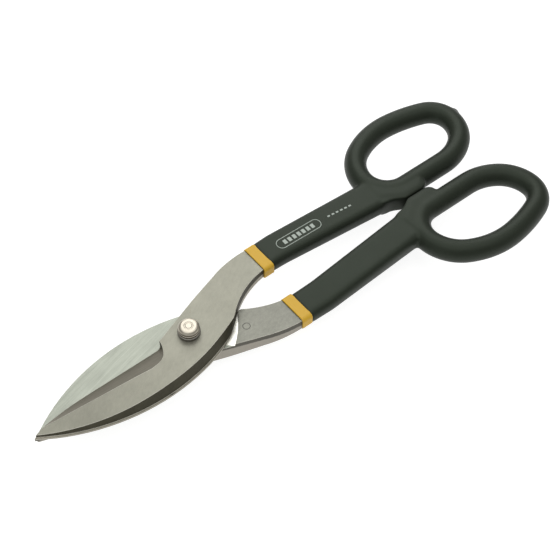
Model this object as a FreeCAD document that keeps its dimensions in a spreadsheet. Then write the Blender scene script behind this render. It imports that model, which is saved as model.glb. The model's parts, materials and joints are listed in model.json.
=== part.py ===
import FreeCAD, Part
import math
import os
import re
import Sketcher
from FreeCAD import Placement, Rotation, Vector

# Straight pattern metal snips: two equal forged halves that cross at one pivot bolt, with dipped
# vinyl grips. X runs from the blade tips to the finger bows, +Y is the upper half's handle side,
# +Z is up. The pivot axis is the Z axis, and z = 0 is the end face of the bolt.

SIZES = {
    # blade, measured from the pivot axis and from the mid-plane where the halves slide
    "blade_reach": 91.0,
    "blade_half_width": 20.8,
    "widest_at": 27.0,
    "half_thick": 8.4,
    "taper_from": 27.0,
    "tip_thick": 2.6,
    "edge_offset": 5.2,
    "edge_bow": 0.1,
    "edge_straight_to": 58.0,
    "edge_land": 0.8,
    "bevel_angle": 34.0,
    "bevel_end_at": 27.5,
    "bevel_end_offset": 2.4,
    "bevel_end_radius": 13.0,
    "bevel_end_fillet": 2.0,
    "back_land": 1.0,
    "back_ledge": 0.8,
    "back_lean": 2.6,
    "back_fade_angle": 31.0,
    "back_sweep_angle": 76.0,
    # pivot region and the exposed shank
    "shoulder_at": 13.5,
    "notch_at": 5.0,
    "belly_at": 27.0,
    "belly_offset": 2.8,
    "crotch_at": 60.0,
    "crotch_offset": 10.8,
    "crotch_radius": 53.7,
    "shank_outer_at": 30.0,
    "shank_outer": 21.2,
    "neck_outer_at": 56.0,
    "neck_outer": 26.4,
    "slope_from": 13.0,
    "slope_to": 54.0,
    "core_half_thick": 4.3,
    "neck_under": 2.0,
    "seat_step": 1.3,
    "seat_reach": 25.0,
    "seat_radius": 60.0,
    "seat_near_run": 4.5,
    "seat_near_at": 0.8,
    "seat_far_run": 9.8,
    "seat_far_at": 16.8,
    "seat_end_run": 14.0,
    "seat_end_at": 26.0,
    "relief_run": 8.0,
    "relief_at": 0.6,
    "overrun": 5.0,
    # covered shank, stop lug and finger bow
    "bar_from": 70.0,
    "bar_to": 128.0,
    "bar_inner_from": 10.8,
    "bar_inner_to": 6.3,
    "bar_outer_from": 26.4,
    "bar_outer_to": 23.2,
    "lug_from": 144.5,
    "lug_to": 157.0,
    "lug_gap": 0.3,
    "lug_lead": 6.0,
    "lug_lead_drop": 1.0,
    "lug_tail": 3.0,
    "lug_tail_inset": 2.4,
    "bow_straight_to": 181.0,
    "bow_inner": 9.8,
    "bow_reach": 207.2,
    "bow_outer": 50.4,
    "bow_left": 137.3,
    "bow_tube": 12.6,
    "bow_nose_run": 8.5,
    "bow_nose_rise": 5.9,
    "bow_end_rise": 21.5,
    "bow_heel_run": 8.9,
    "bow_heel_drop": 5.2,
    "bow_top_run": 39.0,
    "bow_toe_run": 11.7,
    "bow_toe_drop": 5.7,
    "bow_side_drop": 21.9,
    "vinyl_wall": 1.6,
    "grip_cover": 1.2,
    "grip_corner": 3.7,
    "grip_rear_tuck": 0.8,
    "lug_half_thick": 5.4,
    # bands
    "band_length": 5.4,
    "band_wall": 0.9,
    "band_inset": 2.0,
    "band_corner": 2.3,
    "upper_band_at": 54.8,
    "lower_band_at": 50.8,
    # pivot
    "bolt_radius": 4.0,
    "pivot_clearance": 0.05,
    "nut_washer_radius": 6.6,
    "head_washer_radius": 5.8,
    "washer_thick": 1.4,
    "washer_chamfer": 0.3,
    "head_radius": 5.4,
    "head_height": 3.8,
    "head_chamfer": 1.1,
    "head_dome": 0.3,
    "bolt_proud": 0.8,
    "bolt_chamfer": 0.6,
    "nut_flats": 13.0,
    "nut_height": 6.0,
    "nut_chamfer": 0.3,
    "nut_chamfer_rise": 1.0,
    "collar_height": 1.7,
    "collar_radius": 5.9,
    "insert_radius": 5.1,
    "insert_lip": 0.3,
}

# the blade's back is an arc from the tip, and the halves' outlines cross at the notch
BACK_RADIUS = "((blade_reach - widest_at)^2 + blade_half_width^2) / (2 * blade_half_width)"
NOTCH = f"{BACK_RADIUS} - blade_half_width - sqrt(({BACK_RADIUS})^2 - (notch_at + widest_at)^2)"

doc = FreeCAD.newDocument("MetalSnips")
sheet = doc.addObject("Spreadsheet::Sheet", "Sizes")
for row, (name, value) in enumerate(SIZES.items(), start=1):
    sheet.set(f"A{row}", name)
    sheet.set(f"B{row}", str(value))
    sheet.setAlias(f"B{row}", name)
doc.recompute()


def cells(text):
    """Turn plain size names into references to the sheet."""
    return re.sub(r"[a-z_]+", lambda m: f"Sizes.{m[0]}" if m[0] in SIZES else m[0], text)


def number(text):
    """Value of an expression written with size names."""
    return float(sheet.evalExpression(cells(text)))


def body(name):
    return doc.addObject("PartDesign::Body", name)


def sketch_on(owner, plane, name):
    """Sketch on one of the body's own origin planes."""
    support = next(f for f in owner.Origin.OriginFeatures if f.Role == plane)
    sketch = owner.newObject("Sketcher::SketchObject", name)
    sketch.AttachmentSupport = (support, [""])
    sketch.MapMode = "FlatFace"
    return sketch


def shift(sketch, x="0", y="0", z="0", axis=(-1, 0, 0), angle="0"):
    """Offset a sketch from its plane, and turn it about an axis of its own."""
    sketch.AttachmentOffset = Placement(
        Vector(number(x), number(y), number(z)), Rotation(Vector(*axis), number(angle)))
    sketch.setExpression("AttachmentOffset.Base.x", cells(x))
    sketch.setExpression("AttachmentOffset.Base.y", cells(y))
    sketch.setExpression("AttachmentOffset.Base.z", cells(z))
    if number(angle):
        sketch.setExpression("AttachmentOffset.Rotation.Angle", cells(angle))


def left_arc(start, middle, end, turn):
    """Arc through three points, drawn so that it always turns to the left."""
    return Part.Arc(start, middle, end) if turn > 0 else Part.Arc(end, middle, start)


def tangent_arc(start, end, heading):
    """Arc from start to end that leaves start along heading, and its heading at end."""
    chord = end - start
    chord_angle = math.atan2(chord.y, chord.x)
    turn = (chord_angle - heading + math.pi) % (2 * math.pi) - math.pi
    sagitta = chord.Length / 2 * math.tan(turn / 2)
    middle = (start + end) * 0.5 + Vector(chord.y, -chord.x, 0).normalize() * sagitta
    return left_arc(start, middle, end, turn), chord_angle + turn


def round_arc(start, end, radius):
    """Arc of a stated radius from start to end. A negative radius turns to the right."""
    chord = end - start
    half = math.asin(chord.Length / 2 / abs(radius))
    side = math.copysign(abs(radius) * (1 - math.cos(half)), radius)
    middle = (start + end) * 0.5 + Vector(chord.y, -chord.x, 0).normalize() * side
    heading = math.atan2(chord.y, chord.x) + math.copysign(half, radius)
    return left_arc(start, middle, end, radius), heading


def outline(sketch, corners, smooth=False):
    """Draw a closed outline. Each corner is (x, y, edge to the next corner), where the edge is
    "line", "arc" for an arc tangent to the edge before it, or the arc's radius. Every corner's
    place, tangency and radius is a constraint bound to the sheet. A smooth outline starts with a
    straight edge along X, which begins where the closing arc runs into it."""
    count = len(corners)
    points = [Vector(number(x), number(y), 0) for x, y, _ in corners]
    edges = {}
    heading = 0.0
    for index in range(1 if smooth else 0, count):
        start = points[index]
        if smooth and index == count - 1:
            reach = (points[0].y - start.y) / math.sin(heading)
            points[0].x = start.x + reach * (1 + math.cos(heading))
        end = points[(index + 1) % count]
        edge = corners[index][2]
        if edge == "line":
            edges[index] = Part.LineSegment(start, end)
            heading = math.atan2(end.y - start.y, end.x - start.x)
        elif edge == "arc":
            edges[index], heading = tangent_arc(start, end, heading)
        else:
            edges[index], heading = round_arc(start, end, number(edge))
    if smooth:
        edges[0] = Part.LineSegment(points[0], points[1])
    ends = []
    for index in range(count):
        place = sketch.addGeometry(edges[index], False)
        forward = (sketch.Geometry[place].StartPoint - points[index]).Length < 1e-6
        ends.append((place, 1, 2) if forward else (place, 2, 1))
    for index, (x, y, edge) in enumerate(corners):
        place, first, _ = ends[index]
        before, _, last = ends[index - 1]
        closing = smooth and index == 0
        joint = "Tangent" if edge == "arc" or closing else "Coincident"
        sketch.addConstraint(Sketcher.Constraint(joint, before, last, place, first))
        if edge not in ("line", "arc"):
            radius = f"abs({edge})"
            mark = sketch.addConstraint(Sketcher.Constraint("Radius", place, number(radius)))
            sketch.setExpression(f"Constraints[{mark}]", cells(radius))
        pins = [("DistanceY", y)] if closing else [("DistanceX", x), ("DistanceY", y)]
        for kind, text in pins:
            pin = Sketcher.Constraint(kind, -1, 1, place, first, number(text))
            mark = sketch.addConstraint(pin)
            sketch.setExpression(f"Constraints[{mark}]", cells(text))


def circle(sketch, radius):
    """Circle about the sketch's own origin."""
    place = sketch.addGeometry(Part.Circle(Vector(0, 0, 0), Vector(0, 0, 1), number(radius)), False)
    sketch.addConstraint(Sketcher.Constraint("Coincident", place, 3, -1, 1))
    mark = sketch.addConstraint(Sketcher.Constraint("Radius", place, number(radius)))
    sketch.setExpression(f"Constraints[{mark}]", cells(radius))


def feature(owner, kind, name, profile, **settings):
    """Add a PartDesign feature. Text settings are expressions, others are set as they are."""
    made = owner.newObject(f"PartDesign::{kind}", name)
    made.Profile = profile
    for key, value in settings.items():
        if isinstance(value, str):
            made.setExpression(key, cells(value))
        else:
            setattr(made, key, value)
    doc.recompute()
    return made


def bow_spine(owner, name):
    """Centre line of the finger bow: a straight inner side and seven arcs."""
    spine = sketch_on(owner, "XY_Plane", name)
    corners = [
        ("bow_left", "bow_inner", "line"),
        ("bow_straight_to", "bow_inner", "arc"),
        ("bow_reach - bow_nose_run", "bow_inner + bow_nose_rise", "arc"),
        ("bow_reach", "bow_inner + bow_end_rise", "arc"),
        ("bow_reach - bow_heel_run", "bow_outer - bow_heel_drop", "arc"),
        ("bow_left + bow_top_run", "bow_outer", "arc"),
        ("bow_left + bow_toe_run", "bow_outer - bow_toe_drop", "arc"),
        ("bow_left", "bow_outer - bow_side_drop", "arc"),
    ]
    outline(spine, corners, smooth=True)
    return spine


def bow(owner, name, radius):
    """Round bar swept along the finger bow's centre line."""
    spine = bow_spine(owner, f"{name}_spine")
    section = sketch_on(owner, "YZ_Plane", f"{name}_section")
    circle(section, radius)
    shift(section, x="bow_inner", z="bow_straight_to - overrun")
    doc.recompute()
    ring = owner.newObject("PartDesign::AdditivePipe", name)
    ring.Profile = section
    ring.Spine = (spine, [f"Edge{place + 1}" for place in range(spine.GeometryCount)])
    doc.recompute()
    return ring


def forging(name):
    """One forged half, handle towards +Y and its sliding face on z = 0."""
    half = body(name)
    plan = sketch_on(half, "XY_Plane", f"{name}_plan")
    outline(plan, [
        ("-blade_reach", "0", BACK_RADIUS),
        ("notch_at", NOTCH, "arc"),
        ("belly_at", "-belly_offset", "-crotch_radius"),
        ("crotch_at", "crotch_offset", "arc"),
        ("bar_from", "bar_inner_from", "line"),
        ("bar_to", "bar_inner_to", "line"),
        ("lug_from - lug_lead", "bar_inner_to - lug_lead_drop", "line"),
        ("lug_from + vinyl_wall", "lug_gap / 2 + vinyl_wall", "line"),
        ("lug_to - vinyl_wall", "lug_gap / 2 + vinyl_wall", "line"),
        ("lug_to + lug_tail", "bow_inner - lug_tail_inset", "line"),
        ("lug_to + lug_tail", "bow_inner", "line"),
        ("lug_from", "bow_inner + overrun", "line"),
        ("bow_left", "bar_outer_to", "line"),
        ("bar_to", "bar_outer_to", "line"),
        ("bar_from", "bar_outer_from", "line"),
        ("neck_outer_at", "neck_outer", "arc"),
        ("shank_outer_at", "shank_outer", "line"),
        ("-shoulder_at", "edge_offset - edge_bow", "line"),
        ("-edge_straight_to", "edge_offset", "arc"),
    ])
    shift(plan, z="-core_half_thick")
    feature(half, "Pad", f"{name}_plate", plan, Length="core_half_thick + half_thick")

    # the side away from the other half slopes down to the shank, and the blade thins to its tip
    top = sketch_on(half, "XZ_Plane", f"{name}_top")
    outline(top, [
        ("-blade_reach - overrun", "half_thick + overrun", "line"),
        ("-blade_reach - overrun",
         "tip_thick - overrun * (half_thick - tip_thick) / (blade_reach - taper_from)", "line"),
        ("-taper_from", "half_thick", "line"),
        ("slope_from", "half_thick", "line"),
        ("slope_to", "core_half_thick", "line"),
        ("bow_reach", "core_half_thick", "line"),
        ("bow_reach", "half_thick + overrun", "line"),
    ])
    feature(half, "Pocket", f"{name}_top_cut", top, Type=0, Midplane=True, Length="4 * blade_reach")

    # the sliding face is ground flat up to a step, which clears the other half as it turns
    seat = sketch_on(half, "XY_Plane", f"{name}_seat")
    outline(seat, [
        ("seat_reach + relief_run", "-blade_reach / 2", "line"),
        ("seat_reach + relief_run", "relief_at", "line"),
        ("seat_reach + seat_near_run", "seat_near_at", "seat_radius"),
        ("seat_reach - seat_far_run", "seat_far_at", "line"),
        ("seat_reach - seat_end_run", "seat_end_at", "line"),
        ("-2 * blade_reach", "seat_end_at", "line"),
        ("-2 * blade_reach", "-blade_reach / 2", "line"),
    ])
    feature(half, "Pocket", f"{name}_seat_cut", seat, Type=0, Length="4 * core_half_thick")
    under = sketch_on(half, "XZ_Plane", f"{name}_under")
    outline(under, [
        ("0", "-seat_step", "line"),
        ("seat_reach", "-seat_step", "line"),
        ("slope_to", "-neck_under", "line"),
        ("bar_to", "-core_half_thick", "line"),
        ("bar_to", "-core_half_thick - overrun", "line"),
        ("0", "-core_half_thick - overrun", "line"),
    ])
    feature(half, "Pocket", f"{name}_under_cut", under, Type=0, Midplane=True,
            Length="4 * blade_reach")

    # ground bevel behind the cutting edge, with the wheel's round run-out at its end
    bevel = sketch_on(half, "XY_Plane", f"{name}_bevel")
    outline(bevel, [
        ("-2 * blade_reach", "-blade_reach", "line"),
        ("-bevel_end_at", "-blade_reach", "line"),
        ("-bevel_end_at", "blade_reach / 3", "line"),
        ("-2 * blade_reach", "blade_reach / 3", "line"),
    ])
    shift(bevel, y="edge_offset", z="edge_land", angle="bevel_angle")
    feature(half, "Pocket", f"{name}_bevel_cut", bevel, Type=0, Reversed=True,
            Length="4 * half_thick")
    wheel = sketch_on(half, "XZ_Plane", f"{name}_wheel")
    outline(wheel, [
        ("0", "0", "line"),
        ("bevel_end_radius - bevel_end_fillet", "0", "arc"),
        ("bevel_end_radius", "bevel_end_fillet", "line"),
        ("bevel_end_radius", "4 * half_thick", "line"),
        ("0", "4 * half_thick", "line"),
    ])
    shift(wheel, x="-bevel_end_at", y="edge_land + bevel_end_offset * sin(bevel_angle)",
          z="bevel_end_offset * cos(bevel_angle) - edge_offset", angle="bevel_angle")
    feature(half, "Groove", f"{name}_run_out", wheel, ReferenceAxis=(wheel, ["V_Axis"]), Angle=360)

    # forged back of the blade: leans inwards above a narrow ledge and land
    back = sketch_on(half, "YZ_Plane", f"{name}_back")
    wall = f"-({BACK_RADIUS} - back_ledge)"
    outline(back, [
        (wall, "back_land + back_ledge / 2", "line"),
        (f"{wall} - overrun", "back_land - overrun / 2", "line"),
        (f"{wall} - overrun", "half_thick + overrun", "line"),
        (f"{wall} + back_lean", "half_thick + overrun", "line"),
    ])
    shift(back, x=f"{BACK_RADIUS} - blade_half_width", z="-widest_at", axis=(0, 1, 0),
          angle="back_fade_angle")
    feature(half, "Groove", f"{name}_back_cut", back, ReferenceAxis=(back, ["V_Axis"]),
            Reversed=True, Angle="back_sweep_angle")

    bore = sketch_on(half, "XY_Plane", f"{name}_bore")
    circle(bore, "bolt_radius + pivot_clearance")
    feature(half, "Pocket", f"{name}_bore_cut", bore, Type=0, Midplane=True, Length="4 * half_thick")
    bow(half, f"{name}_bow", "bow_tube / 2 - vinyl_wall")
    return half


def rounded_section(owner, name, station, inner, outer, under, over, corner):
    """Rounded rectangle across the shank at a station along X, from under to over the mid-plane."""
    section = sketch_on(owner, "YZ_Plane", name)
    outline(section, [
        (f"{inner} + {corner}", f"-({under})", "line"),
        (f"{outer} - {corner}", f"-({under})", "arc"),
        (outer, f"-({under}) + {corner}", "line"),
        (outer, f"{over} - {corner}", "arc"),
        (f"{outer} - {corner}", over, "line"),
        (f"{inner} + {corner}", over, "arc"),
        (inner, f"{over} - {corner}", "line"),
        (inner, f"-({under}) + {corner}", "arc"),
    ])
    shift(section, z=station)
    return section


def grip_form(name, front):
    """Solid outer form of a dipped grip: shank, stop lug and finger bow."""
    form = body(name)
    over = "core_half_thick + grip_cover"
    sunk = "(core_half_thick - neck_under) * (bar_from - slope_to) / (bar_to - slope_to)"
    sections = [
        rounded_section(form, f"{name}_front", front, "crotch_offset - vinyl_wall",
                        "neck_outer + grip_cover", "neck_under + grip_cover", over, "grip_corner"),
        rounded_section(form, f"{name}_middle", "bar_from", "bar_inner_from - vinyl_wall",
                        "bar_outer_from + vinyl_wall", f"neck_under + grip_cover + {sunk}", over,
                        "grip_corner"),
        rounded_section(form, f"{name}_rear", "lug_from - lug_lead / 2",
                        "bar_inner_to - lug_lead_drop - vinyl_wall",
                        "bar_outer_to + vinyl_wall - grip_rear_tuck", over, over, "grip_corner"),
    ]
    bar = form.newObject("PartDesign::AdditiveLoft", f"{name}_bar")
    bar.Profile = sections[0]
    bar.Sections = sections[1:]
    bar.Ruled = True
    doc.recompute()
    lug = sketch_on(form, "XY_Plane", f"{name}_lug")
    outline(lug, [
        ("lug_from - 2 * lug_lead", "bar_inner_to - vinyl_wall", "line"),
        ("lug_from - lug_lead", "bar_inner_to - lug_lead_drop - vinyl_wall", "line"),
        ("lug_from + vinyl_wall / 2", "lug_gap / 2", "line"),
        ("lug_to", "lug_gap / 2", "arc"),
        ("lug_to + lug_tail + vinyl_wall", "bow_inner - lug_tail_inset - vinyl_wall", "line"),
        ("lug_to + lug_tail + vinyl_wall", "bow_inner", "line"),
        ("lug_from - 2 * lug_lead", "bow_inner", "line"),
    ])
    shift(lug, z="-lug_half_thick")
    feature(form, "Pad", f"{name}_lug_pad", lug, Length="2 * lug_half_thick")
    bow(form, f"{name}_bow", "bow_tube / 2")
    return form


def band_form(name, station):
    """Solid outer form of the yellow band."""
    form = body(name)
    section = rounded_section(form, f"{name}_section", station, "crotch_offset - band_inset",
                              "neck_outer + band_wall", "neck_under + band_wall",
                              "core_half_thick + band_wall", "band_corner")
    feature(form, "Pad", f"{name}_pad", section, Length="band_length")
    return form


def seat_at(thing, z, flip):
    """Set a body at a height on the pivot axis, turned over about X for the lower half."""
    thing.Placement = Placement(Vector(0, 0, number(z)), Rotation(Vector(1, 0, 0), 180 * flip))
    thing.setExpression("Placement.Base.z", cells(z))
    return thing


def sleeve(name, form, forged):
    """Part left of an outer form when the forging it was dipped on is taken out."""
    cut = doc.addObject("Part::Cut", name)
    cut.Base = form
    cut.Tool = forged
    return cut


def turned(name, profile, z):
    """Piece turned about the pivot axis from a profile of (radius, height) corners."""
    piece = body(name)
    section = sketch_on(piece, "XZ_Plane", f"{name}_profile")
    outline(section, profile)
    feature(piece, "Revolution", f"{name}_turned", section, ReferenceAxis=(section, ["V_Axis"]),
            Angle=360)
    return seat_at(piece, z, 0)


# heights on the pivot axis, from the bolt's end face upwards
COLLAR = "bolt_proud"
BEARING = "bolt_proud + nut_height"
LOWER_FACE = f"{BEARING} + washer_thick"
MIDDLE = f"{LOWER_FACE} + half_thick"
UPPER_FACE = f"{MIDDLE} + half_thick"
HEAD_SEAT = f"{UPPER_FACE} + washer_thick"

pieces = []
for side, flip in (("upper", 0), ("lower", 1)):
    forged = seat_at(forging(f"{side}_blade"), MIDDLE, flip)
    band_at = f"{side}_band_at"
    grip = seat_at(grip_form(f"{side}_grip_form", f"{band_at} + band_length"), MIDDLE, flip)
    band = seat_at(band_form(f"{side}_band_form", band_at), MIDDLE, flip)
    pieces.append(forged)
    pieces.append(sleeve(f"{side}_grip", grip, forged))
    pieces.append(sleeve(f"{side}_band", band, forged))

for name, z in (("nut_washer", BEARING), ("head_washer", UPPER_FACE)):
    rim = f"{name}_radius"
    pieces.append(turned(name, [
        ("bolt_radius", "0", "line"),
        (f"{rim} - washer_chamfer", "0", "line"),
        (rim, "washer_chamfer", "line"),
        (rim, "washer_thick - washer_chamfer", "line"),
        (f"{rim} - washer_chamfer", "washer_thick", "line"),
        ("bolt_radius", "washer_thick", "line"),
    ], z))
pieces.append(turned("pivot_bolt", [
    ("0", "0", "line"),
    ("bolt_radius - bolt_chamfer", "0", "line"),
    ("bolt_radius", "bolt_chamfer", "line"),
    ("bolt_radius", HEAD_SEAT, "line"),
    ("head_radius", HEAD_SEAT, "line"),
    ("head_radius", f"{HEAD_SEAT} + head_height - head_chamfer", "line"),
    ("head_radius - head_chamfer", f"{HEAD_SEAT} + head_height", "line"),
    ("head_radius / 3", f"{HEAD_SEAT} + head_height + head_dome", "line"),
    ("head_radius / 4", f"{HEAD_SEAT} + head_height", "line"),
    ("0", f"{HEAD_SEAT} + head_height", "line"),
], "0"))
pieces.append(turned("nut_insert", [
    ("bolt_radius", "insert_lip", "line"),
    ("insert_radius", "insert_lip", "line"),
    ("insert_radius", "collar_height", "line"),
    ("bolt_radius", "collar_height", "line"),
], COLLAR))

nut = body("lock_nut")
flats = sketch_on(nut, "XY_Plane", "nut_flats_plan")
CORNER = "nut_flats / sqrt(3)"
outline(flats, [
    (CORNER, "0", "line"),
    (f"{CORNER} / 2", "nut_flats / 2", "line"),
    (f"-{CORNER} / 2", "nut_flats / 2", "line"),
    (f"-{CORNER}", "0", "line"),
    (f"-{CORNER} / 2", "-nut_flats / 2", "line"),
    (f"{CORNER} / 2", "-nut_flats / 2", "line"),
])
shift(flats, z="collar_height")
feature(nut, "Pad", "nut_hexagon", flats, Length="nut_height - collar_height")
collar = sketch_on(nut, "XY_Plane", "nut_collar_plan")
circle(collar, "collar_radius")
feature(nut, "Pad", "nut_collar", collar, Length="nut_height")
corners = sketch_on(nut, "XZ_Plane", "nut_corner_profile")
outline(corners, [
    ("nut_flats / 2 - nut_chamfer", "collar_height", "line"),
    (f"{CORNER} + nut_chamfer_rise", "collar_height", "line"),
    (f"{CORNER} + nut_chamfer_rise", "collar_height + nut_chamfer_rise", "line"),
])
feature(nut, "Groove", "nut_corners", corners, ReferenceAxis=(corners, ["V_Axis"]), Angle=360)
hole = sketch_on(nut, "XY_Plane", "nut_bore_plan")
circle(hole, "bolt_radius")
feature(nut, "Pocket", "nut_bore", hole, Type=0, Midplane=True, Length="4 * nut_height")
recess = sketch_on(nut, "XY_Plane", "nut_recess_plan")
circle(recess, "insert_radius")
shift(recess, z="collar_height")
feature(nut, "Pocket", "nut_recess", recess, Type=0, Length="collar_height - insert_lip")
pieces.append(seat_at(nut, COLLAR, 0))

doc.recompute()
faults = [thing.Label for thing in doc.Objects if {"Invalid", "Error"} & set(thing.State)]
for piece in pieces:
    if piece.Shape.isNull() or not piece.Shape.isValid() or len(piece.Shape.Solids) != 1:
        faults.append(piece.Label)
if faults:
    raise RuntimeError(f"failed objects: {faults}")
os.makedirs("parts", exist_ok=True)
for piece in pieces:
    piece.Shape.exportStep(f"parts/{piece.Label}.step")
    print(f"{piece.Label}: {piece.Shape.Volume:.1f} mm3, {len(piece.Shape.Faces)} faces")
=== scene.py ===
import json
import math

import bmesh
import bpy
from mathutils import Matrix, Vector
from mathutils.bvhtree import BVHTree


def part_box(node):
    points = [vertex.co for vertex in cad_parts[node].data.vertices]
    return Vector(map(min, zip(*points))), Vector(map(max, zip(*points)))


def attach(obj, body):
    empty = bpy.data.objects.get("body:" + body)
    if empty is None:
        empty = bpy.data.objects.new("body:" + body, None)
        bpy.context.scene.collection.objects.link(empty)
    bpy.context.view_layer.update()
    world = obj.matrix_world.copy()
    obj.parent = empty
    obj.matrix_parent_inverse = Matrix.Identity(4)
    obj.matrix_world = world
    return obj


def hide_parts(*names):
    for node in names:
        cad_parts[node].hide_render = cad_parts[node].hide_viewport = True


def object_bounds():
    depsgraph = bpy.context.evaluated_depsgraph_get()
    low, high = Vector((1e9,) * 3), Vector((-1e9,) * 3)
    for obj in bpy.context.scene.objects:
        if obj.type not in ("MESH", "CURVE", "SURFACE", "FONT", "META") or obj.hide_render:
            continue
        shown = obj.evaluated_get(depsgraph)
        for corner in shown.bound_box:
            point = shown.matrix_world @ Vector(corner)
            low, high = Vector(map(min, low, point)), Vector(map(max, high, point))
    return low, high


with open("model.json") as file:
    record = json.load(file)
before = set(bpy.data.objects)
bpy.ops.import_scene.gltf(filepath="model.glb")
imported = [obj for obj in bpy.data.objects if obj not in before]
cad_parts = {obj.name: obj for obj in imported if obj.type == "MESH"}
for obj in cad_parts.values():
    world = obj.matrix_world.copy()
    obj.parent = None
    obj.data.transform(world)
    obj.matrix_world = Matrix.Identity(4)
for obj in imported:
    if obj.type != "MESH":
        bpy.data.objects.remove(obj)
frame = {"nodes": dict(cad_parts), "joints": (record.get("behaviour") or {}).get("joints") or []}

# ---- Table, camera and light ------------------------------------------------------------------
# The snips lie on a white table under a wide soft ceiling light, with a panel behind them and a
# faint one in front. The room is darker, which draws the dark lines along the round grips.
MM = 0.001
cad_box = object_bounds()
pivot = Vector(frame["joints"][0]["pos_m"])

VIEW_ELEVATION = math.radians(52.4)
VIEW_AZIMUTH = math.radians(-38.7)
VIEW_DISTANCE = 678.8 * MM
LENS = 84.4
SENSOR = 36
NEAR = 10 * MM
view_target = pivot + Vector((59.3, 2.2, 0)) * MM
away = Vector((-math.sin(VIEW_AZIMUTH) * math.cos(VIEW_ELEVATION),
               math.cos(VIEW_AZIMUTH) * math.cos(VIEW_ELEVATION), -math.sin(VIEW_ELEVATION)))

camera = bpy.data.objects.new("camera", bpy.data.cameras.new("camera"))
camera.data.lens = LENS
camera.data.sensor_width = SENSOR
camera.data.clip_start = NEAR
camera.location = view_target - away * VIEW_DISTANCE
camera.rotation_euler = away.to_track_quat("-Z", "Y").to_euler()
bpy.context.scene.collection.objects.link(camera)
bpy.context.scene.camera = camera
bpy.context.scene.view_settings.view_transform = "Standard"


def panel(name, place, size, power):
    """Square soft light that faces the snips."""
    light = bpy.data.lights.new(name, "AREA")
    light.size = size
    light.energy = power
    lamp = bpy.data.objects.new(name, light)
    lamp.location = view_target + Vector(place)
    lamp.rotation_euler = (-Vector(place)).to_track_quat("-Z", "Y").to_euler()
    bpy.context.scene.collection.objects.link(lamp)


panel("ceiling", (0.0, 0.05, 1.0), size=1.3, power=7.5)
panel("back_panel", (0.55, 0.75, 0.75), size=0.9, power=5.0)
panel("front_fill", (-0.9, -0.3, 0.45), size=0.4, power=0.6)

ROOM_SHADE = (0.42, 0.42, 0.40, 1)
world = bpy.data.worlds.new("room")
world.use_nodes = True
world.node_tree.nodes["Background"].inputs["Color"].default_value = ROOM_SHADE
bpy.context.scene.world = world

TABLE_REACH = 3.0
TABLE_SHADE = (0.3, 0.3, 0.3, 1)
TABLE_GLOW = 0.88
table_mesh = bpy.data.meshes.new("table")
table_mesh.from_pydata([(x, y, cad_box[0][2]) for x, y in (
    (-TABLE_REACH, -TABLE_REACH), (TABLE_REACH, -TABLE_REACH),
    (TABLE_REACH, TABLE_REACH), (-TABLE_REACH, TABLE_REACH))], [], [(0, 1, 2, 3)])
table = bpy.data.objects.new("table", table_mesh)
bpy.context.scene.collection.objects.link(table)
table_paint = bpy.data.materials.new("table_paint")
table_paint.use_nodes = True
paint = table_paint.node_tree.nodes["Principled BSDF"].inputs
paint["Base Color"].default_value = TABLE_SHADE
paint["Roughness"].default_value = 0.9
paint["Emission Color"].default_value = (1, 1, 1, 1)
paint["Emission Strength"].default_value = TABLE_GLOW
table.data.materials.append(table_paint)


# ---- Forged halves ----------------------------------------------------------------------------
# Two drop forgings of carbon steel, one turned over on the other. The flat faces and the bevel
# behind the cutting edge are ground, each with its own grain. The walls keep their forged skin,
# with a brighter band along them that is a painted reflection of the white table.
class Link:
    """Output of a shader node. Arithmetic on links adds the Math nodes that work it out."""

    def __init__(self, finish, socket):
        self.finish, self.socket = finish, socket

    def maths(self, operation, *values):
        return self.finish.node("ShaderNodeMath", {"operation": operation},
                                dict(enumerate(values)))

    def __add__(self, other):
        return self.maths("ADD", self, other)

    def __sub__(self, other):
        return self.maths("SUBTRACT", self, other)

    def __rsub__(self, other):
        return self.maths("SUBTRACT", other, self)

    def __mul__(self, other):
        return self.maths("MULTIPLY", self, other)

    def __gt__(self, other):
        return self.maths("GREATER_THAN", self, other)

    __radd__, __rmul__ = __add__, __mul__


GRAIN_ROUGHNESS = 0.55


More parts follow.
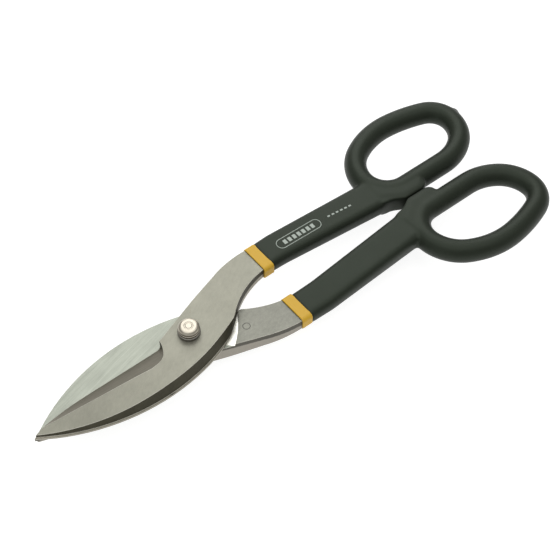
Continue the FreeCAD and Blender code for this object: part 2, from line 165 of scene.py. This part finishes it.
class Finish:
    """Procedural material under construction around one Principled BSDF."""

    def __init__(self, name, **constants):
        self.material = bpy.data.materials.new(name)
        self.material.use_nodes = True
        self.tree = self.material.node_tree
        self.surface = self.tree.nodes["Principled BSDF"]
        for socket, value in constants.items():
            self.surface.inputs[socket.replace("_", " ")].default_value = value

    def feed(self, inputs, key, value):
        """Link or set one input, found by its place or by its name among those in use."""
        socket = inputs[key] if isinstance(key, int) else next(
            s for s in inputs if s.name == key and s.enabled)
        if isinstance(value, Link):
            self.tree.links.new(value.socket, socket)
        else:
            socket.default_value = value

    def node(self, kind, settings=None, sockets=None, output=0):
        """Add a node. Its settings come first, then its sockets, and one output comes back."""
        made = self.tree.nodes.new(kind)
        for key, value in (settings or {}).items():
            setattr(made, key, value)
        for key, value in (sockets or {}).items():
            self.feed(made.inputs, key, value)
        return Link(self, [s for s in made.outputs if s.enabled][output])

    def grain(self, size, turn=0.0, length=1.0, detail=3.0):
        """Noise with spots of a size, drawn out along a direction in plan."""
        place = self.node("ShaderNodeTexCoord", output=3)
        drawn = self.node("ShaderNodeMapping", {"vector_type": "TEXTURE"}, {
            "Vector": place, "Rotation": (0, 0, turn), "Scale": (length, 1, 1)})
        return self.node("ShaderNodeTexNoise", None, {
            "Vector": drawn, "Scale": 1 / size, "Detail": detail, "Roughness": GRAIN_ROUGHNESS})

    def blend(self, factor, first, second):
        """Colour between two colours."""
        return self.node("ShaderNodeMix", {"data_type": "RGBA"}, {
            "Factor": factor, "A": first, "B": second})

    def step(self, value, start, end):
        """Smooth step of a value from 0 at start to 1 at end."""
        return self.node("ShaderNodeMapRange", {"interpolation_type": "SMOOTHSTEP"}, {
            "Value": value, "From Min": start, "From Max": end})

    def relief(self, height, depth):
        """Bump the surface by a height field of 0 to 1 times a depth."""
        self.feed(self.surface.inputs, "Normal", self.node("ShaderNodeBump", None, {
            "Height": height, "Distance": depth}))

    def show(self, **links):
        """Feed the surface and return the finished material."""
        for key, value in links.items():
            self.feed(self.surface.inputs, key.replace("_", " "), value)
        return self.material


def opaque(*shade):
    """Colour with nothing let through."""
    return (*shade, 1.0)


CLOUDY = 0.5
SPREAD = 0.35
SPECK_OVER = 0.68
SPECK_SHARE = 0.12
SPECK_SHADE = (0.05, 0.05, 0.045)
SCRATCH_DULLS = 0.12


def ground_steel(name, shade, roughness, turn, length, contrast, depth):
    """Steel ground in one direction: fine scratches over faint cloudy patches and specks."""
    finish = Finish(name, Metallic=1.0)
    scratch = finish.grain(0.35 * MM, turn, length, 2)
    streak = finish.grain(1.5 * MM, turn, length / 2, 2)
    cloud = finish.grain(16 * MM, detail=2)
    speck = finish.grain(0.5 * MM, detail=1) > SPECK_OVER
    tone = (scratch - 0.5) * contrast + (streak - 0.5) * contrast + (cloud - 0.5) * CLOUDY + 0.5
    light = opaque(*(v * (1 + SPREAD) for v in shade))
    dark = opaque(*(v * (1 - SPREAD) for v in shade))
    colour = finish.blend(speck * SPECK_SHARE, finish.blend(tone, dark, light),
                          opaque(*SPECK_SHADE))
    finish.relief(scratch, depth)
    return finish.show(Base_Color=colour,
                       Roughness=roughness + (scratch - 0.5) * SCRATCH_DULLS)


# Blur, wander and shine of the band of painted table reflection on the forged walls
REFLECTION_BLUR = 0.2 * MM
REFLECTION_WANDER = 0.5 * MM
SCALE_DARK, SCALE_LIGHT = 0.7, 1.35
PIT_DEPTH = 0.12 * MM
SCALE_ROUGHNESS = 0.62
REFLECTION_SHINE = 0.14
PIT_DULLS = 0.2


def forged_skin(name, wall, reflection_colour, reflection_from, reflection_to):
    """Forged wall: dark scale, and a brighter strip between two heights over the mid-plane that is
    a painted reflection of the white table.
    """
    finish = Finish(name, Metallic=0.75)
    height = finish.node("ShaderNodeSeparateXYZ", None, {
        "Vector": finish.node("ShaderNodeTexCoord", output=3)}, output=2) - pivot.z
    pits = finish.grain(0.9 * MM, detail=4)
    patch = finish.grain(7 * MM, detail=3)
    ragged = height + (pits - 0.5) * REFLECTION_WANDER
    # Painted reflection: the wall is lighter in a band between two heights, in place of the white
    # table reflected there
    painted_reflection = finish.step(ragged, reflection_from - REFLECTION_BLUR, reflection_from + REFLECTION_BLUR) * (
        1 - finish.step(ragged, reflection_to - REFLECTION_BLUR, reflection_to + REFLECTION_BLUR))
    scale = finish.blend(patch, opaque(*(v * SCALE_DARK for v in wall)),
                         opaque(*(v * SCALE_LIGHT for v in wall)))
    finish.relief(pits, PIT_DEPTH)
    return finish.show(Base_Color=finish.blend(painted_reflection, scale, opaque(*reflection_colour)),
                       Roughness=SCALE_ROUGHNESS - painted_reflection * REFLECTION_SHINE + (pits - 0.5) * PIT_DULLS)


BREAK = 0.16 * MM
BREAK_ANGLE = math.radians(16)
FLAT = 0.5
LEVEL = 0.9
CREASE = math.radians(1)
SQUARE = 0.01
EASE_STEPS = 4
SHORT = 0.45 * MM
WELD = 0.002 * MM
ON_CUT = 0.001 * MM
COPLANAR = math.radians(0.3)


def outer(face, out):
    """Whether a face is part of the outer flat, which slopes along X only."""
    return face.normal.z * out > LEVEL and abs(face.normal.y) < SQUARE


def merged(node, eased=(), out=1):
    """BMesh copy of a CAD node with its loose triangles joined into whole faces. Each eased place
    (x, reach, slope) is a kink across the outer face, which is rounded over a reach either way."""
    work = bmesh.new()
    work.from_mesh(frame["nodes"][node].data)
    bmesh.ops.remove_doubles(work, verts=work.verts, dist=WELD)
    for at, reach, slope in eased:
        for step in range(-EASE_STEPS, EASE_STEPS + 1):
            cut = bmesh.ops.bisect_plane(
                work, geom=work.verts[:] + work.edges[:] + work.faces[:], dist=ON_CUT,
                plane_co=(at + reach * step / EASE_STEPS, 0, 0), plane_no=(1, 0, 0))["geom_cut"]
            fresh = {v for v in cut if isinstance(v, bmesh.types.BMVert)}
            near = {v: e.other_vert(v) for v in fresh for e in v.link_edges
                    if e.calc_length() < SHORT and e.other_vert(v) not in fresh}
            bmesh.ops.weld_verts(work, targetmap=near)
        thick = max((v.co.z - pivot.z) * out for v in work.verts)
        for vert in work.verts:
            inside = max(0.0, reach - abs(vert.co.x - at))
            share = max(0.0, (vert.co.z - pivot.z) * out / thick)
            vert.co.z -= out * share * slope * inside ** 2 / (4 * reach)
    bmesh.ops.dissolve_limit(work, angle_limit=COPLANAR, verts=work.verts, edges=work.edges)
    return work


def solid(name, work, materials):
    """Make an object from a BMesh and give it its materials."""
    mesh = bpy.data.meshes.new(name)
    work.to_mesh(mesh)
    work.free()
    piece = bpy.data.objects.new(name, mesh)
    bpy.context.scene.collection.objects.link(piece)
    for material in materials:
        mesh.materials.append(material)
    return piece


def flatten(piece):
    """Turn a piece and its modifiers into a plain mesh."""
    bpy.context.view_layer.update()
    graph = bpy.context.evaluated_depsgraph_get()
    mesh = bpy.data.meshes.new_from_object(piece.evaluated_get(graph), depsgraph=graph)
    piece.modifiers.clear()
    piece.data = mesh


def settle(piece, body, node):
    """Finish a piece as a plain mesh that rides on a body in place of its CAD node."""
    flatten(piece)
    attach(piece, body)
    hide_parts(node)
    return piece


def broken_edges(piece, width=BREAK, edge_material=-1):
    """Round the sharp edges a little. Flat faces stay flat, and turned or curved walls smooth."""
    piece.data.shade_smooth()
    work = bmesh.new()
    work.from_mesh(piece.data)
    for edge in work.edges:
        level = [abs(face.normal.z) > FLAT for face in edge.link_faces]
        edge.smooth = not (any(level) and edge.calc_face_angle(0) > CREASE)
    work.to_mesh(piece.data)
    work.free()
    bevel = piece.modifiers.new("broken_edges", "BEVEL")
    bevel.width = width
    bevel.segments = 2
    bevel.limit_method = "ANGLE"
    bevel.angle_limit = BREAK_ANGLE
    bevel.use_clamp_overlap = False
    bevel.harden_normals = True
    bevel.material = edge_material


satin_face = ground_steel("satin_face", (0.235, 0.232, 0.193), 0.46, 0.6, 4, 0.3, 0.01 * MM)
inner_face = ground_steel("inner_face", (0.275, 0.29, 0.25), 0.42, math.radians(14), 26, 0.55,
                          0.015 * MM)
shank_face = ground_steel("shank_face", (0.21, 0.21, 0.182), 0.5, 0.2, 3, 0.5, 0.05 * MM)
bevel_face = ground_steel("bevel_face", (0.225, 0.208, 0.168), 0.42, math.radians(-4), 18, 0.6,
                          0.012 * MM)
bright_seat = ground_steel("bright_seat", (0.75, 0.74, 0.68), 0.3, 1.2, 14, 0.5, 0.01 * MM)
# Each wall is lighter between the two heights, a painted reflection of the table
upper_wall = forged_skin("upper_wall", (0.052, 0.048, 0.031), (0.30, 0.28, 0.23),
                         reflection_from=-9 * MM, reflection_to=1.0 * MM)
lower_wall = forged_skin("lower_wall", (0.10, 0.095, 0.08), (0.30, 0.28, 0.24),
                         reflection_from=-9 * MM, reflection_to=-1.6 * MM)
# Rounded edges take a brighter steel: wear polish on the edges, partly a painted highlight
worn_edge_and_highlight = ground_steel("worn_edge_and_highlight", (0.42, 0.41, 0.36), 0.35, 0, 6, 0.2, 0.01 * MM)
FACE, INNER, SHANK, BEVEL, SEAT, WALL, EDGE = range(7)

# (x, reach, slope) of the two places where the outer face changes its slope
KINKS = ((-27 * MM, 14 * MM, 0.0906), (13 * MM, 6 * MM, 0.1))
SEAT_FROM = 12 * MM
SHANK_DROP = 1.2 * MM
RUN_OUT = (-32 * MM, -10 * MM)
RUN_OUT_OVER = 1 * MM
RUN_OUT_BEHIND = -12 * MM
RUN_OUT_LEAN = 0.02

forgings = {}
for side, turned_over in (("upper", 1), ("lower", -1)):
    work = merged(f"{side}_blade", KINKS, turned_over)
    work.normal_update()
    for face in work.faces:
        centre = face.calc_center_median() - pivot
        out = face.normal.z * turned_over
        rise = centre.z * turned_over
        if outer(face, turned_over):
            face.material_index = FACE
        elif out < -LEVEL:
            if rise < -SHANK_DROP:
                face.material_index = SHANK
            else:
                face.material_index = SEAT if centre.x > SEAT_FROM else INNER
        elif out > FLAT or (RUN_OUT[0] < centre.x < RUN_OUT[1] and rise > RUN_OUT_OVER
                            and centre.y * turned_over > RUN_OUT_BEHIND and out > RUN_OUT_LEAN):
            face.material_index = BEVEL
        else:
            face.material_index = WALL
    forging = solid(f"{side}_forging", work, [
        satin_face, inner_face, shank_face, bevel_face, bright_seat,
        upper_wall if side == "upper" else lower_wall, worn_edge_and_highlight])
    broken_edges(forging, edge_material=EDGE)
    forgings[side] = settle(forging, side, f"{side}_blade")


# ---- Bands ------------------------------------------------------------------------------------
# A ring of yellow vinyl, dipped before the grip, shows between the steel and the grip. Its rear
# end is tucked a little way into the grip.
CLOUD_DULLS = 0.12
SKIN_DULLS = 0.1


def vinyl(name, dark, light, roughness, grain_depth, sheen=(1, 1, 1)):
    """Dipped vinyl: a soft sheen, faint clouding and a fine skin."""
    finish = Finish(name, Specular_IOR_Level=0.3, Specular_Tint=opaque(*sheen))
    cloud = finish.grain(11 * MM, detail=3)
    skin = finish.grain(0.45 * MM, detail=2)
    finish.relief(skin, grain_depth)
    return finish.show(Base_Color=finish.blend(cloud, opaque(*dark), opaque(*light)),
                       Roughness=roughness + (cloud - 0.5) * CLOUD_DULLS
                       + (skin - 0.5) * SKIN_DULLS)


def dipped(piece, voxel, passes, material):
    """Let the vinyl flow: an even skin of small faces, smoothed so that every corner rounds."""
    skin = piece.modifiers.new("skin", "REMESH")
    skin.mode = "VOXEL"
    skin.voxel_size = voxel
    skin.use_smooth_shade = True
    flow = piece.modifiers.new("flow", "SMOOTH")
    flow.factor = 0.5
    flow.iterations = passes
    flatten(piece)
    piece.data.materials.clear()
    piece.data.materials.append(material)


BAND_TUCK = 0.8 * MM
band_vinyl = vinyl("band_vinyl", (0.53, 0.31, 0.022), (0.60, 0.37, 0.035), 0.42, 0.01 * MM)
for side in ("upper", "lower"):
    work = merged(f"{side}_band")
    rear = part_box(f"{side}_band")[1][0]
    for vert in work.verts:
        if rear - vert.co.x < BAND_TUCK:
            vert.co.x += BAND_TUCK
    band = solid(f"{side}_dip_band", work, [band_vinyl])
    dipped(band, voxel=0.25 * MM, passes=6, material=band_vinyl)
    settle(band, side, f"{side}_band")


# ---- Grips ------------------------------------------------------------------------------------
# Each handle is dipped in charcoal vinyl from the band to the finger bow. The dip rounds every
# corner, and where it drained it left a small nub on the far side of the upper bow.
grip_vinyl = vinyl("grip_vinyl", (0.0105, 0.0135, 0.0095), (0.0135, 0.0170, 0.0120), 0.45,
                   0.012 * MM, (0.78, 0.90, 0.74))

# corners (x, y) in mm from the pivot, of the web that fills the bend between bar, lug and bow
WEB = ((134, 10), (146, 2.4), (157, 2.2), (160, 5), (162, 9.8), (156, 10), (147, 12.5), (141, 18),
       (138, 24), (134.5, 21))
WEB_HALF_THICK = 5.9
NUB_AT = (212.3, 33.2, 1.0)
NUB_TURN = math.radians(80)
NUB_SIZE = (3.6, 2.2, 2.8)


def web(work, mirror):
    """Add a flat-topped prism over the web's corners to a BMesh."""
    low, high = ([work.verts.new(pivot + Vector((x, y * mirror, z)) * MM) for x, y in WEB]
                 for z in (-WEB_HALF_THICK, WEB_HALF_THICK))
    for near, far in ((a, (a + 1) % len(WEB)) for a in range(len(WEB))):
        work.faces.new((low[near], low[far], high[far], high[near]))
    made = [work.faces.new(low), work.faces.new(high)] + [f for v in low for f in v.link_faces]
    bmesh.ops.recalc_face_normals(work, faces=list(set(made)))
    bmesh.ops.triangulate(work, faces=[f for f in work.faces if len(f.verts) > 3])


grips = {}
for side, mirror in (("upper", 1), ("lower", -1)):
    work = merged(f"{side}_grip")
    web(work, mirror)
    if side == "upper":
        nub = Matrix.Translation(pivot + Vector(NUB_AT) * MM)
        nub = nub @ Matrix.Rotation(NUB_TURN, 4, "Z")
        nub = nub @ Matrix.Diagonal((*(size * MM for size in NUB_SIZE), 1))
        bmesh.ops.create_icosphere(work, subdivisions=3, radius=1, matrix=nub)
    grip = solid(f"{side}_dipped_grip", work, [grip_vinyl])
    dipped(grip, voxel=0.55 * MM, passes=28, material=grip_vinyl)
    grips[side] = settle(grip, side, f"{side}_grip")


# ---- Pivot ------------------------------------------------------------------------------------
# A nickel plated bolt with a turned head carries both halves between two washers, and a lock nut
# with a nylon insert holds it underneath. The bolt's thread shows below the nut.
nickel = ground_steel("nickel", (0.44, 0.405, 0.34), 0.32, 0, 1, 0.3, 0.01 * MM)
# Darker copy of the nickel for the head's side: painted shade
nickel_painted_shade = ground_steel("nickel_painted_shade", (0.17, 0.145, 0.115), 0.34, 0, 1, 0.3, 0.01 * MM)
zinc = ground_steel("zinc", (0.27, 0.255, 0.23), 0.38, 0, 1, 0.3, 0.01 * MM)
nylon = vinyl("nylon", (0.62, 0.62, 0.57), (0.70, 0.70, 0.65), 0.5, 0.01 * MM)
TURNS = 96


def lathe(profile):
    """Closed solid turned about the pivot axis from (radius, height) points."""
    work = bmesh.new()
    verts = [work.verts.new((pivot.x + r, pivot.y, z)) for r, z in profile]
    edges = [work.edges.new(pair) for pair in zip(verts, verts[1:])]
    bmesh.ops.spin(work, geom=verts + edges, cent=pivot, axis=(0, 0, 1), angle=2 * math.pi,
                   steps=TURNS)
    bmesh.ops.remove_doubles(work, verts=work.verts, dist=WELD)
    bmesh.ops.recalc_face_normals(work, faces=work.faces)
    return work


bolt_low, bolt_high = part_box("pivot_bolt")
head_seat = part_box("head_washer")[1][2]
head_radius = (bolt_high[0] - bolt_low[0]) / 2
STEM = 4 * MM
STEM_CHAMFER = 0.6 * MM
STEEP = 0.35
# (inset from the rim, rise over the seat) in mm up the head's side, with the groove turned in it
HEAD_SIDE = ((0.2, 0), (0, 0.2), (0, 1.1), (0.4, 1.3), (0.4, 1.6), (0, 1.8), (0, 2.6), (0.4, 3.3),
             (1.0, 3.8))
HEAD_CROWN_INSET = 1.6 * MM
HEAD_CROWN_DROP = 0.1 * MM
# (radius, drop from the top) in mm of the ring and the centre mark left by turning
HEAD_TOP = ((2.4, 0.05), (2.2, 0.2), (1.8, 0.2), (1.5, 0), (0, 0))
bolt = solid("pivot_bolt_finished", lathe(
    [(0, bolt_low[2]), (STEM - STEM_CHAMFER, bolt_low[2]), (STEM, bolt_low[2] + STEM_CHAMFER),
     (STEM, head_seat)]
    + [(head_radius - inset * MM, head_seat + rise * MM) for inset, rise in HEAD_SIDE]
    + [(head_radius - HEAD_CROWN_INSET, bolt_high[2] - HEAD_CROWN_DROP)]
    + [(radius * MM, bolt_high[2] - drop * MM) for radius, drop in HEAD_TOP]),
    [nickel, nickel_painted_shade])
# The steep side of the head above the seat takes the darker nickel copy, which is painted shade
for polygon in bolt.data.polygons:
    polygon.material_index = int(abs(polygon.normal.z) < STEEP and polygon.center.z > head_seat)
broken_edges(bolt, width=0.08 * MM)
settle(bolt, "lower", "pivot_bolt")

for node in ("head_washer", "nut_washer", "lock_nut"):
    piece = solid(f"{node}_finished", merged(node), [zinc])
    broken_edges(piece, width=0.2 * MM)
    settle(piece, "lower", node)
frame["nodes"]["nut_insert"].data.materials.clear()
frame["nodes"]["nut_insert"].data.materials.append(nylon)


class Tree:
    """Geometry Nodes tree under construction, with named inputs for its sizes."""

    def __init__(self, name):
        self.tree = bpy.data.node_groups.new(name, "GeometryNodeTree")
        self.entry = self.tree.nodes.new("NodeGroupInput")
        self.exit = self.tree.nodes.new("NodeGroupOutput")
        self.tree.interface.new_socket("Geometry", in_out="OUTPUT",
                                       socket_type="NodeSocketGeometry")
        self.values = {}

    def size(self, name, value):
        """Named input of the tree, with the value that its modifier sets."""
        kind = "NodeSocketInt" if isinstance(value, int) else "NodeSocketFloat"
        socket = self.tree.interface.new_socket(name, in_out="INPUT", socket_type=kind)
        self.values[socket.identifier] = value
        return next(s for s in self.entry.outputs if s.identifier == socket.identifier)

    def node(self, kind, settings=None, sockets=None):
        """Add a node. Its settings come first, then its sockets, and its output comes back."""
        made = self.tree.nodes.new(kind)
        for key, value in (settings or {}).items():
            setattr(made, key, value)
        for key, value in (sockets or {}).items():
            socket = next(s for s in made.inputs if s.name == key and s.enabled)
            if isinstance(value, bpy.types.NodeSocket):
                self.tree.links.new(value, socket)
            else:
                socket.default_value = value
        return next(s for s in made.outputs if s.enabled)

    def grow(self, name, shape, material, place):
        """Run the tree and return a plain mesh object, moved to its place in its mesh."""
        real = self.node("GeometryNodeRealizeInstances", None, {"Geometry": shape})
        dressed = self.node("GeometryNodeSetMaterial", None,
                            {"Geometry": real, "Material": material})
        self.tree.links.new(dressed, self.exit.inputs[0])
        piece = bpy.data.objects.new(name, bpy.data.meshes.new(name))
        bpy.context.scene.collection.objects.link(piece)
        grown = piece.modifiers.new(name, "NODES")
        grown.node_group = self.tree
        for identifier, value in self.values.items():
            grown[identifier] = value
        flatten(piece)
        piece.data.transform(place)
        return piece


def swept(tree, path, profile):
    """Sweep a closed profile along a path, with capped ends."""
    return tree.node("GeometryNodeCurveToMesh", None, {
        "Curve": path, "Profile Curve": profile, "Fill Caps": True})


THREAD_TURNS = 2.0
THREAD_TALL = 2.0 * MM
THREAD_CREST = 0.16 * MM
THREAD_FROM = 0.75 * MM
thread_tree = Tree("thread")
spiral = thread_tree.node("GeometryNodeCurveSpiral", None, {
    "Resolution": 48, "Rotations": THREAD_TURNS, "Start Radius": thread_tree.size("radius", STEM),
    "End Radius": thread_tree.size("end_radius", STEM),
    "Height": thread_tree.size("height", THREAD_TALL)})
crest = thread_tree.node("GeometryNodeCurvePrimitiveCircle", {"mode": "RADIUS"}, {
    "Resolution": 10, "Radius": thread_tree.size("crest", THREAD_CREST)})
thread = thread_tree.grow("bolt_thread", swept(thread_tree, spiral, crest), nickel,
                          Matrix.Translation((pivot.x, pivot.y, bolt_low[2] + THREAD_FROM)))
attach(thread, "lower")


# ---- Marks ------------------------------------------------------------------------------------
# Plain stand-ins for printed and stamped marks: an open capsule with a row of bars and a row of
# small dashes on the upper grip, and a ring on the lower shank. None of them is a letter.
def laid(piece, ground, sink):
    """Lay a flat mark on the surface under it, with its lower side a little inside."""
    tree = BVHTree.FromPolygons([v.co for v in ground.data.vertices],
                                [p.vertices for p in ground.data.polygons])
    for vert in piece.data.vertices:
        above = Vector((vert.co.x, vert.co.y, cad_box[1][2]))
        hit = tree.ray_cast(above, Vector((0, 0, -1)))[0]
        vert.co.z = hit.z + vert.co.z - sink


def strip_along(tree, path, wide, tall):
    """Flat strip along a closed curve."""
    profile = tree.node("GeometryNodeCurvePrimitiveQuadrilateral", None, {
        "Width": tree.size("strip_width", wide), "Height": tree.size("strip_height", tall)})
    return swept(tree, path, profile)


def row(tree, count, pitch, bar):
    """Row of equal bars along X, centred on the origin."""
    count_in, pitch_in = tree.size("count", count), tree.size("pitch", pitch)
    line = tree.node("GeometryNodeMeshLine", None, {
        "Count": count_in, "Start Location": (-pitch * (count - 1) / 2, 0, 0),
        "Offset": tree.node("ShaderNodeCombineXYZ", None, {"X": pitch_in})})
    block = tree.node("GeometryNodeMeshCube", None, {"Size": bar})
    return tree.node("GeometryNodeInstanceOnPoints", None, {"Points": line, "Instance": block})


INK_TALL = 0.12 * MM
SINK = 0.02 * MM
ink = vinyl("ink", (0.30, 0.34, 0.31), (0.40, 0.44, 0.40), 0.5, 0.01 * MM)
stamp_shade = vinyl("stamp_shade", (0.06, 0.06, 0.05), (0.09, 0.09, 0.08), 0.6, 0.02 * MM)
capsule_at = Matrix.Translation((pivot.x + 83.6 * MM, pivot.y + 16.7 * MM, 0)) @ Matrix.Rotation(
    math.radians(-1.7), 4, "Z")
dashes_at = Matrix.Translation((pivot.x + 110.4 * MM, pivot.y + 15.5 * MM, 0)) @ Matrix.Rotation(
    math.radians(-6), 4, "Z")
ring_at = Matrix.Translation((pivot.x + 27.3 * MM, pivot.y - 10.9 * MM, 0))

capsule_tree = Tree("capsule")
frame_curve = capsule_tree.node("GeometryNodeCurvePrimitiveQuadrilateral", None, {
    "Width": capsule_tree.size("length", 28 * MM), "Height": capsule_tree.size("width", 6.2 * MM)})
capsule_path = capsule_tree.node("GeometryNodeFilletCurve", {"mode": "POLY"}, {
    "Curve": frame_curve, "Count": 12, "Radius": capsule_tree.size("round", 3.0 * MM)})
bars_tree = Tree("bars")
dashes_tree = Tree("dashes")
stamp_tree = Tree("stamp")
stamp_path = stamp_tree.node("GeometryNodeCurvePrimitiveCircle", {"mode": "RADIUS"}, {
    "Resolution": 64, "Radius": stamp_tree.size("radius", 1.9 * MM)})
for name, tree, shape, material, place, body, ground in (
        ("grip_capsule", capsule_tree,
         strip_along(capsule_tree, capsule_path, 0.4 * MM, INK_TALL), ink, capsule_at, "upper",
         grips["upper"]),
        ("grip_bars", bars_tree, row(bars_tree, 7, 3.0 * MM, (1.9 * MM, 2.8 * MM, INK_TALL)),
         ink, capsule_at, "upper", grips["upper"]),
        ("grip_dashes", dashes_tree, row(dashes_tree, 6, 2.7 * MM, (1.5 * MM, 1.0 * MM, INK_TALL)),
         ink, dashes_at, "upper", grips["upper"]),
        ("shank_ring", stamp_tree, strip_along(stamp_tree, stamp_path, 0.3 * MM, INK_TALL),
         stamp_shade, ring_at, "lower", forgings["lower"])):
    mark = tree.grow(name, shape, material, place)
    laid(mark, ground, SINK)
    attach(mark, body)
    "grip_vinyl" if body == "upper" else "forged_steel"
